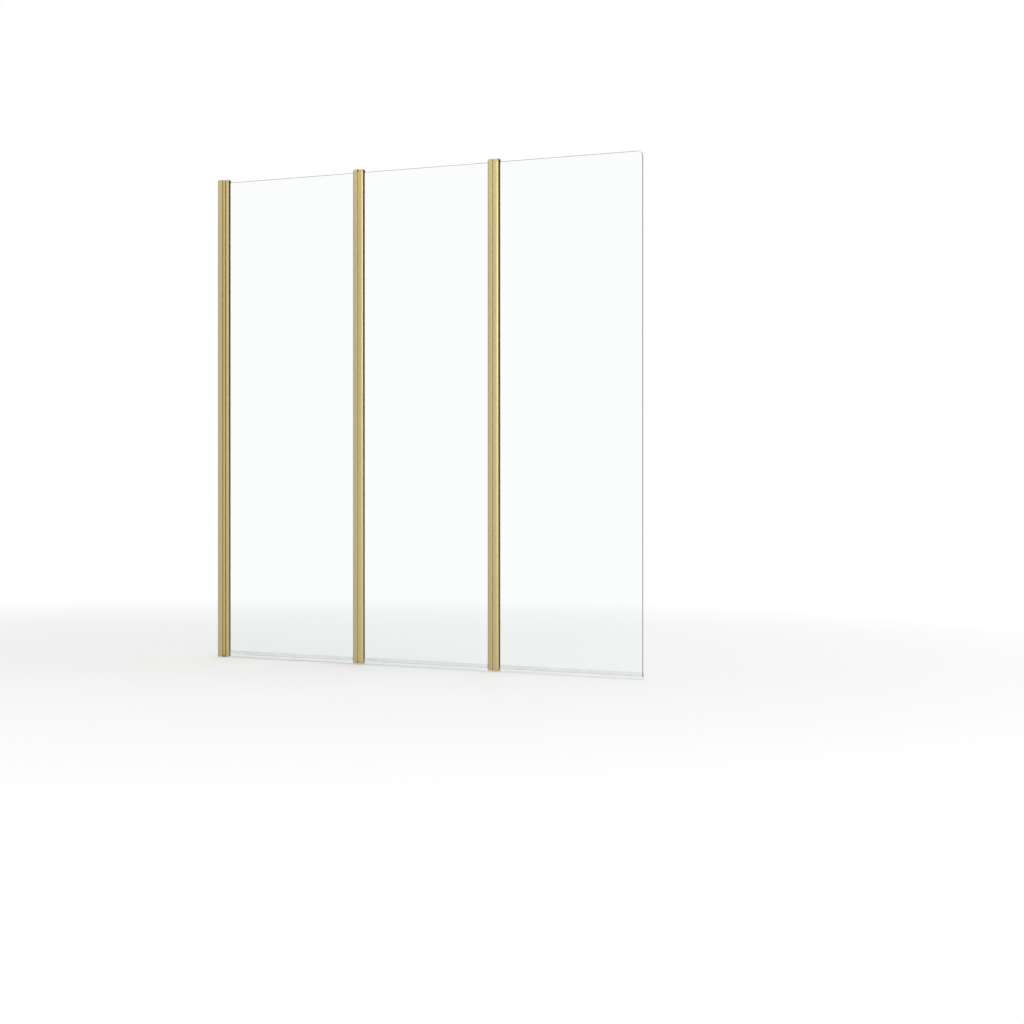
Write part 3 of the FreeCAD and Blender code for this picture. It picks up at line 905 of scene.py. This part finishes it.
class SCREEN_OT_stage(bpy.types.Operator):
    """Lay the floor, light the studio and set the camera"""
    bl_idname = "screen.stage"
    bl_label = "Studio"

    def execute(self, context):
        studio = context.scene.screen_studio
        context.scene.view_settings.view_transform = "Standard"
        self.floor(studio)
        self.surround(studio)
        for name, (place, target, size) in LAMPS.items():
            self.lamp(name + "_light", place, target, size, getattr(studio, name + "_power"))
        self.camera(studio)
        return {"FINISHED"}

    def floor(self, studio):
        """Round floor that fades to plain white far from the screen."""
        disc = bmesh.new()
        bmesh.ops.create_circle(disc, cap_ends=True, segments=FLOOR_SIDES, radius=studio.floor_radius)
        mesh = bpy.data.meshes.new("studio_floor")
        disc.to_mesh(mesh)
        disc.free()
        plane = bpy.data.objects.new("studio_floor", mesh)
        bpy.context.scene.collection.objects.link(plane)
        mesh.materials.append(self.floor_paint(studio))
        return plane

    def floor_paint(self, studio):
        """Pale paint that turns to plain white far out, and to the dim side where metal mirrors it."""
        paint = Shader("floor_paint")
        mottle = paint.noise((1.5, 1.5, 1.5), 2.0)
        darker = tuple(part * 0.985 for part in studio.floor)
        paint.drive("Base Color", paint.blend(paint.spread(mottle, 0.0, 1.0), darker, studio.floor))
        paint.set(Roughness=0.7, Specular_IOR_Level=0.2)
        place = paint.place.outputs["Object"]
        reach = paint.vector_math("LENGTH", place)["Value"]
        toward = paint.vector_math("NORMALIZE", place)["Vector"]
        path = paint.add("ShaderNodeLightPath").outputs
        mirrored = paint.math("GREATER_THAN", path["Is Glossy Ray"], path["Is Transmission Ray"])
        outer = paint.math("MULTIPLY", mirrored, paint.spread(reach, 0.0, 1.0, *DIM_FLOOR))
        white = paint.feed(paint.add("ShaderNodeEmission"),
                           Strength=self.dimmed(paint, toward, outer, studio))
        straight = paint.math("MAXIMUM", path["Is Camera Ray"], path["Is Transmission Ray"])
        seen = paint.math("MAXIMUM", straight, path["Is Glossy Ray"])
        far = paint.spread(reach, 0.0, 1.0, studio.fade_start, studio.fade_end)
        mix = paint.add("ShaderNodeMixShader")
        paint.join(paint.math("MULTIPLY", far, seen), mix.inputs["Fac"])
        paint.join(paint.surface.outputs["BSDF"], mix.inputs[1])
        paint.join(white.outputs["Emission"], mix.inputs[2])
        paint.join(mix.outputs["Shader"], paint.tree.nodes["Material Output"].inputs["Surface"])
        return paint.material

    def dimmed(self, tree, way, share, studio):
        """Level of the studio in a direction: 1, but lower towards its dim side, by a share."""
        toward = tree.vector_math("DOT_PRODUCT", way, DIM_WAY)["Value"]
        dim = tree.spread(toward, 0.0, 1.0 - studio.dim_side, *DIM_RANGE, interpolation_type="SMOOTHSTEP")
        return tree.math("SUBTRACT", 1.0, tree.math("MULTIPLY", dim, share))

    def surround(self, studio):
        """White studio that is dim low on one side, and an even fill."""
        world = bpy.data.worlds.new("studio")
        bpy.context.scene.world = world
        world.use_nodes = True
        world.node_tree.nodes.clear()
        sky = Tree(world.node_tree)
        way = sky.add("ShaderNodeTexCoord").outputs["Generated"]
        parts = sky.feed(sky.add("ShaderNodeSeparateXYZ"), Vector=way)
        low = sky.spread(parts.outputs["Z"], 1.0, 0.0, *DIM_HEIGHT, interpolation_type="SMOOTHSTEP")
        path = sky.add("ShaderNodeLightPath").outputs
        lit = sky.mix(path["Is Glossy Ray"], studio.fill_level, self.dimmed(sky, way, low, studio))
        straight = sky.math("MAXIMUM", path["Is Camera Ray"], path["Is Transmission Ray"])
        glow = sky.feed(sky.add("ShaderNodeBackground"), Color=rgba((1.0, 1.0, 1.0)),
                        Strength=sky.mix(straight, lit, 1.0))
        sky.join(glow.outputs["Background"], sky.add("ShaderNodeOutputWorld").inputs["Surface"])

    def lamp(self, name, place, target, size, power):
        """Rectangular soft light aimed at a point."""
        light = bpy.data.lights.new(name, "AREA")
        light.shape = "RECTANGLE"
        light.size, light.size_y = size
        light.energy = power
        lamp = bpy.data.objects.new(name, light)
        bpy.context.scene.collection.objects.link(lamp)
        lamp.location = place
        lamp.rotation_euler = (Vector(target) - Vector(place)).to_track_quat("-Z", "Y").to_euler()
        lamp.visible_camera = False
        lamp.visible_transmission = False

    def camera(self, studio):
        """Level camera at the photograph's viewing angle."""
        lens = bpy.data.cameras.new("camera")
        lens.lens = studio.lens
        lens.sensor_width = SENSOR_WIDTH
        lens.shift_y = studio.camera_shift
        view = bpy.data.objects.new("camera", lens)
        bpy.context.scene.collection.objects.link(view)
        view.location = studio.camera_place
        view.rotation_euler = (math.radians(90.0), 0.0, studio.camera_turn)
        bpy.context.scene.camera = view


STEPS = (
    SCREEN_OT_profiles, SCREEN_OT_caps, SCREEN_OT_glass, SCREEN_OT_rubber, SCREEN_OT_plastics,
    SCREEN_OT_screws, SCREEN_OT_pins, SCREEN_OT_drip_seals, SCREEN_OT_stage,
)


class SCREEN_PT_steps(bpy.types.Panel):
    """Steps that finish the screen"""
    bl_idname = "SCREEN_PT_steps"
    bl_label = "Bath screen"
    bl_space_type = "VIEW_3D"
    bl_region_type = "UI"
    bl_category = "Bath screen"

    def draw(self, context):
        for step in STEPS:
            self.layout.operator(step.bl_idname)


GROUPS = {
    "screen_finish": ScreenFinish,
    "screen_sizes": ScreenSizes,
    "screen_studio": ScreenStudio,
}
CLASSES = tuple(GROUPS.values()) + STEPS + (SCREEN_PT_steps,)


def register():
    """Register the classes and their settings."""
    for cls in CLASSES:
        bpy.utils.register_class(cls)
    for name, group in GROUPS.items():
        setattr(bpy.types.Scene, name, bpy.props.PointerProperty(type=group))


def unregister():
    """Remove the settings and the classes."""
    for name in GROUPS:
        delattr(bpy.types.Scene, name)
    for cls in reversed(CLASSES):
        bpy.utils.unregister_class(cls)


def main():
    """Finish the screen step by step."""
    register()
    for step in STEPS:
        family, name = step.bl_idname.split(".")
        getattr(getattr(bpy.ops, family), name)()


if __name__ == "__main__":
    main()
